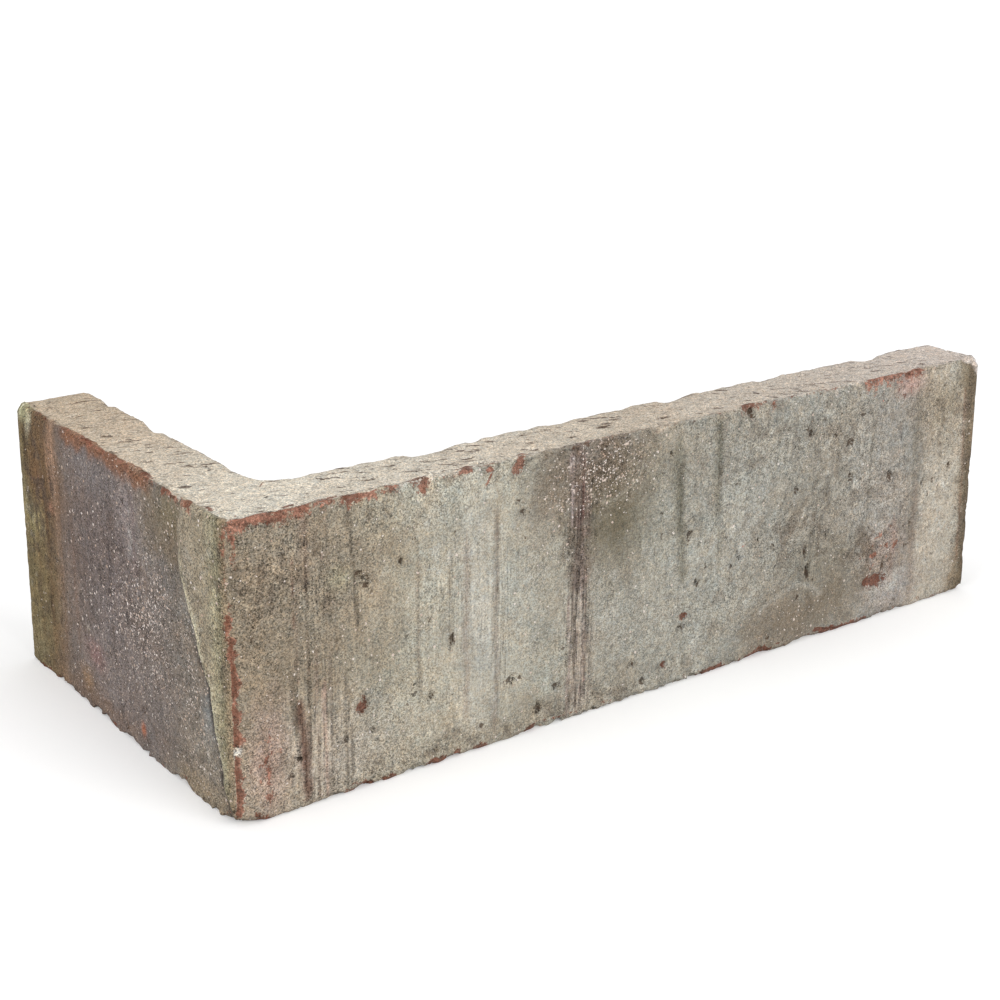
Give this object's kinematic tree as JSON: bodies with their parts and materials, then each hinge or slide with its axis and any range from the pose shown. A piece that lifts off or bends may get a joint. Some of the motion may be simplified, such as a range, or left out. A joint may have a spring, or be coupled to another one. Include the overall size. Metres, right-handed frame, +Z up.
{
  "type": "corner brick slip",
  "caption": "L-shaped clay slip that clads the outer corner of a wall: a long face and a return with worn moulded arrises, flat sawn backs and flat beds.",
  "frame": {"origin": "under the middle of the slip's bounding box, at the level of the lower bed that it stands on", "axes": "+X along the long leg away from the outer corner, +Y along the return away from the outer corner, +Z up the height of the faces"},
  "size_m": [0.1969, 0.092, 0.058],
  "materials": {
    "fired_clay": "matte"
  },
  "bodies": {
    "root": {"corner_slip": "fired_clay"}
  },
  "joints": []
}
